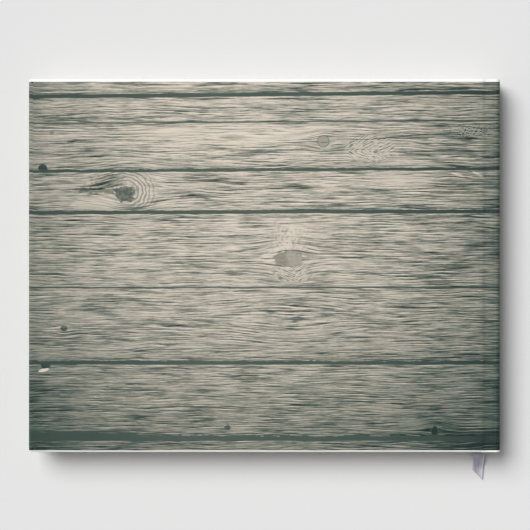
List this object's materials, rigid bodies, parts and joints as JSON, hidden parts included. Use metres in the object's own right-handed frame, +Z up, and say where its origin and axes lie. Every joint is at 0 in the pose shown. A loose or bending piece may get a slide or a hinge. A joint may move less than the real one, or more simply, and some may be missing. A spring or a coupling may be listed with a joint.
{
  "type": "guest book",
  "caption": "Landscape hardcover guest book with a weathered-plank printed case, sewn blank pages, bands and a satin ribbon marker; its covers, endpapers and leaves turn on the spine.",
  "frame": {"origin": "centre of the closed book's footprint, on the surface that it lies on, measured without the ribbon marker's tail", "axes": "the book lies on its front cover: +X towards the spine, +Y towards the head of the pages, +Z up, out of the back cover"},
  "size_m": [0.2858, 0.2446, 0.02],
  "materials": {
    "printed_cover": "matt-laminated printed sheet, weathered grey-beige planks with dark green-grey gaps",
    "greyboard": "dense grey binder's board",
    "endpaper": "smooth heavy uncoated white paper",
    "page": "uncoated off-white paper",
    "crash_cloth": "open-weave starched cotton",
    "liner_paper": "brown kraft paper",
    "thread": "waxed linen thread",
    "band": "striped silver and white woven tape with a beaded edge",
    "ribbon": "silver-lilac satin"
  },
  "bodies": {
    "text_block": {"spine_board": "greyboard", "spine_wrap": "printed_cover", "front_joint_strip": "printed_cover", "back_joint_strip": "printed_cover", "front_endpaper_fold": "endpaper", "back_endpaper_fold": "endpaper", "section_1": "page", "section_2": "page", "section_3": "page", "section_4": "page", "section_5": "page", "section_6": "page", "section_7": "page", "last_section_fold": "page", "sewing_thread": "thread", "mull": "crash_cloth", "spine_liner": "liner_paper", "headband": "band", "tailband": "band", "ribbon": "ribbon"},
    "front_cover": {"front_board": "greyboard", "front_cover_wrap": "printed_cover", "front_pastedown": "endpaper"},
    "back_cover": {"back_board": "greyboard", "back_cover_wrap": "printed_cover", "back_pastedown": "endpaper"},
    "front_endleaf": {"front_flyleaf": "endpaper"},
    "back_endleaf": {"back_flyleaf": "endpaper"},
    "turned_leaf_1": {"leaf_1": "page"},
    "turned_leaf_2": {"leaf_2": "page"},
    "turned_leaf_3": {"leaf_3": "page"},
    "turned_leaf_4": {"leaf_4": "page"},
    "turned_leaf_5": {"leaf_5": "page"},
    "turned_leaf_6": {"leaf_6": "page"}
  },
  "joints": [
    {"name": "back_cover_hinge", "type": "hinge", "parent": "text_block", "child": "back_cover", "pos_m": [0.13753, 0, 0.01704], "axis": [0, 1, 0], "range_deg": [0, 179.5], "deforming": ["back_joint_strip", "back_endpaper_fold", "last_section_fold"]},
    {"name": "front_cover_hinge", "type": "hinge", "parent": "text_block", "child": "front_cover", "pos_m": [0.13753, 0, 0.00295], "axis": [0, -1, 0], "range_deg": [0, 179.5], "deforming": ["front_joint_strip", "front_endpaper_fold"]},
    {"name": "back_flyleaf_turn", "type": "hinge", "parent": "text_block", "child": "back_endleaf", "pos_m": [0.13753, 0, 0.01704], "axis": [0, 1, 0], "range_deg": [0, 174.12]},
    {"name": "front_flyleaf_turn", "type": "hinge", "parent": "text_block", "child": "front_endleaf", "pos_m": [0.13753, 0, 0.00295], "axis": [0, -1, 0], "range_deg": [0, 179.5]},
    {"name": "leaf_1_turn", "type": "hinge", "parent": "text_block", "child": "turned_leaf_1", "pos_m": [0.13753, 0, 0.01704], "axis": [0, 1, 0], "range_deg": [0, 25.66]},
    {"name": "leaf_2_turn", "type": "hinge", "parent": "text_block", "child": "turned_leaf_2", "pos_m": [0.13753, 0, 0.01704], "axis": [0, 1, 0], "range_deg": [0, 51.29]},
    {"name": "leaf_3_turn", "type": "hinge", "parent": "text_block", "child": "turned_leaf_3", "pos_m": [0.13753, 0, 0.01704], "axis": [0, 1, 0], "range_deg": [0, 76.94]},
    {"name": "leaf_4_turn", "type": "hinge", "parent": "text_block", "child": "turned_leaf_4", "pos_m": [0.13753, 0, 0.01704], "axis": [0, 1, 0], "range_deg": [0, 102.58]},
    {"name": "leaf_5_turn", "type": "hinge", "parent": "text_block", "child": "turned_leaf_5", "pos_m": [0.13753, 0, 0.01704], "axis": [0, 1, 0], "range_deg": [0, 128.23]},
    {"name": "leaf_6_turn", "type": "hinge", "parent": "text_block", "child": "turned_leaf_6", "pos_m": [0.13753, 0, 0.01704], "axis": [0, 1, 0], "range_deg": [0, 153.86]}
  ],
  "couplings": [
    {"joint": "back_flyleaf_turn", "follows": "back_cover_hinge", "ratio": 0.97},
    {"joint": "front_flyleaf_turn", "follows": "front_cover_hinge", "ratio": 1},
    {"joint": "leaf_1_turn", "follows": "back_cover_hinge", "ratio": 0.1429},
    {"joint": "leaf_2_turn", "follows": "back_cover_hinge", "ratio": 0.2857},
    {"joint": "leaf_3_turn", "follows": "back_cover_hinge", "ratio": 0.4286},
    {"joint": "leaf_4_turn", "follows": "back_cover_hinge", "ratio": 0.5714},
    {"joint": "leaf_5_turn", "follows": "back_cover_hinge", "ratio": 0.7143},
    {"joint": "leaf_6_turn", "follows": "back_cover_hinge", "ratio": 0.8571}
  ]
}
